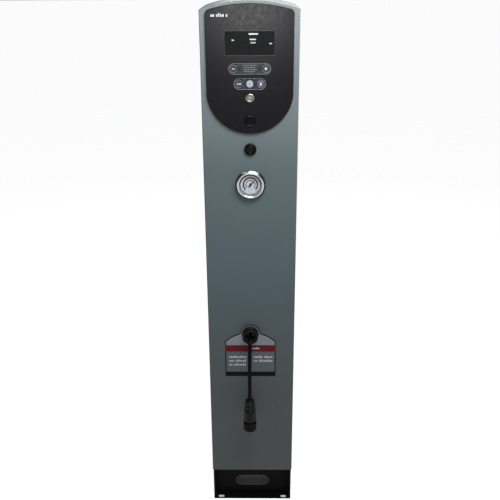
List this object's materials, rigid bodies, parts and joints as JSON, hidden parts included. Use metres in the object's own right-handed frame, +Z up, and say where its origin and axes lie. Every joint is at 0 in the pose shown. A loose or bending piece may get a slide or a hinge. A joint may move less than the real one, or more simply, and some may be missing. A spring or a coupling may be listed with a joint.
{
  "type": "tyre inflator pedestal",
  "caption": "Slim free-standing tyre inflator column on a bolt-down base, with control panel, key lock, push button, pressure gauge, hanging hose with coupler and rear door.",
  "frame": {"origin": "centre of the four floor slots, on the underside of the base", "axes": "+Z up, +X to the right of a person facing the front, the front faces -Y"},
  "size_m": [0.24, 0.3255, 1.46],
  "materials": {
    "column_paint": "satin powder coat",
    "base_paint": "satin powder coat",
    "zinc_steel": "zinc plated",
    "panel_gloss": "semi-gloss",
    "window_gloss": "gloss, tinted",
    "display_black": "matte",
    "circuit_board": "solder mask",
    "silicone": "matte",
    "key_black": "satin, printed",
    "key_pale": "satin, printed",
    "lock_chrome": "polished",
    "badge_gloss": "gloss",
    "button_black": "gloss",
    "spring_steel": "drawn wire",
    "gauge_black": "satin",
    "gauge_chrome": "polished",
    "gauge_glass": "clear",
    "dial_white": "printed",
    "brass": "machined",
    "pointer_black": "matte",
    "label_print": "printed vinyl",
    "fairlead_black": "satin",
    "hose_rubber": "gloss",
    "boot_rubber": "matte",
    "coupler_steel": "turned",
    "sleeve_black": "satin",
    "seal_foam": "foam",
    "hinge_zinc": "plated",
    "supply_aluminium": "plain",
    "terminal_grey": "moulded",
    "valve_aluminium": "anodised",
    "coil_black": "moulded",
    "filter_grey": "moulded",
    "bowl_clear": "clear polycarbonate",
    "lever_red": "dipped",
    "tube_blue": "extruded"
  },
  "bodies": {
    "housing": {"column_shell": "column_paint", "top_cover": "column_paint", "bottom_plate": "zinc_steel", "base_brackets": "base_paint", "base_side_plates": "base_paint", "base_bolts": "zinc_steel", "control_panel": "panel_gloss", "display_window": "window_gloss", "display_module": "display_black", "control_board": "circuit_board", "keypad_mat": "silicone", "key_lock_body": "lock_chrome", "ring_nuts": "zinc_steel", "round_badge": "badge_gloss", "button_collar": "button_black", "button_spring": "spring_steel", "button_contact_block": "display_black", "gauge_case": "gauge_black", "gauge_bezel": "gauge_chrome", "gauge_lens": "gauge_glass", "gauge_dial": "dial_white", "gauge_movement": "brass", "gauge_clamp": "zinc_steel", "outlet_label": "label_print", "hose_fairlead": "fairlead_black", "outlet_fitting": "brass", "air_hose": "hose_rubber", "coupler_boot": "boot_rubber", "coupler_body": "coupler_steel", "hinge_leaves_column": "hinge_zinc", "mounting_plate": "zinc_steel", "power_supply": "supply_aluminium", "terminal_block": "terminal_grey", "valve_block": "valve_aluminium", "solenoid_coils": "coil_black", "pressure_sensor": "coupler_steel", "filter_body": "filter_grey", "filter_bowl": "bowl_clear", "ball_valve": "brass", "inlet_fitting": "brass", "mains_gland": "coil_black", "air_tubes": "tube_blue"},
    "key_minus": {"key_minus": "key_black"},
    "key_plus": {"key_plus": "key_black"},
    "key_zero": {"key_zero": "key_black"},
    "key_start": {"key_start": "key_pale"},
    "key_mode": {"key_mode": "key_black"},
    "key_lock": {"key_lock_plug": "lock_chrome"},
    "push_button": {"button_cap": "button_black"},
    "gauge_needle": {"gauge_pointer": "pointer_black"},
    "release_sleeve": {"coupler_sleeve": "sleeve_black"},
    "door": {"rear_door": "column_paint", "door_seal": "seal_foam", "hinge_leaves_door": "hinge_zinc", "door_lock_body": "lock_chrome"},
    "door_lock": {"door_lock_plug": "lock_chrome"},
    "regulator": {"regulator_knob": "coil_black"},
    "valve_lever": {"ball_valve_lever": "lever_red"},
    "inflate_plunger": {"plunger_inflate": "spring_steel"},
    "deflate_plunger": {"plunger_deflate": "spring_steel"}
  },
  "joints": [
    {"name": "key_minus_press", "type": "slide", "parent": "housing", "child": "key_minus", "axis": [0, 1, 0], "range_m": [0, 0.0005], "stiffness_N_per_m": 1500},
    {"name": "key_plus_press", "type": "slide", "parent": "housing", "child": "key_plus", "axis": [0, 1, 0], "range_m": [0, 0.0005], "stiffness_N_per_m": 1500},
    {"name": "key_zero_press", "type": "slide", "parent": "housing", "child": "key_zero", "axis": [0, 1, 0], "range_m": [0, 0.0005], "stiffness_N_per_m": 1500},
    {"name": "key_start_press", "type": "slide", "parent": "housing", "child": "key_start", "axis": [0, 1, 0], "range_m": [0, 0.0005], "stiffness_N_per_m": 1500},
    {"name": "key_mode_press", "type": "slide", "parent": "housing", "child": "key_mode", "axis": [0, 1, 0], "range_m": [0, 0.0005], "stiffness_N_per_m": 1500},
    {"name": "key_lock_turn", "type": "hinge", "parent": "housing", "child": "key_lock", "pos_m": [0, -0.115, 1.235], "axis": [0, 1, 0], "range_deg": [0, 90]},
    {"name": "push_button_press", "type": "slide", "parent": "housing", "child": "push_button", "axis": [0, 1, 0], "range_m": [0, 0.004], "stiffness_N_per_m": 500, "deforming": ["button_spring"]},
    {"name": "gauge_needle_turn", "type": "hinge", "parent": "housing", "child": "gauge_needle", "pos_m": [0, -0.13, 1.014], "axis": [0, 1, 0], "range_deg": [-177, 93]},
    {"name": "release_sleeve_slide", "type": "slide", "parent": "housing", "child": "release_sleeve", "axis": [0, 0, 1], "range_m": [0, 0.0035], "stiffness_N_per_m": 600},
    {"name": "rear_door_swing", "type": "hinge", "parent": "housing", "child": "door", "pos_m": [0.103, 0.1325, 0.775], "axis": [0, 0, -1], "range_deg": [0, 110]},
    {"name": "door_lock_turn", "type": "hinge", "parent": "door", "child": "door_lock", "pos_m": [-0.07, 0.12, 0.775], "axis": [0, 1, 0], "range_deg": [0, 90]},
    {"name": "regulator_turn", "type": "hinge", "parent": "housing", "child": "regulator", "pos_m": [0, 0.072, 0.48], "axis": [0, 0, 1], "range_deg": [-180, 540]},
    {"name": "valve_lever_turn", "type": "hinge", "parent": "housing", "child": "valve_lever", "pos_m": [-0.06, 0.07, 0.23], "axis": [0, 1, 0], "range_deg": [0, 90]},
    {"name": "inflate_plunger_lift", "type": "slide", "parent": "housing", "child": "inflate_plunger", "axis": [0, 0, 1], "range_m": [0, 0.002], "stiffness_N_per_m": 300},
    {"name": "deflate_plunger_lift", "type": "slide", "parent": "housing", "child": "deflate_plunger", "axis": [0, 0, 1], "range_m": [0, 0.002], "stiffness_N_per_m": 300}
  ]
}
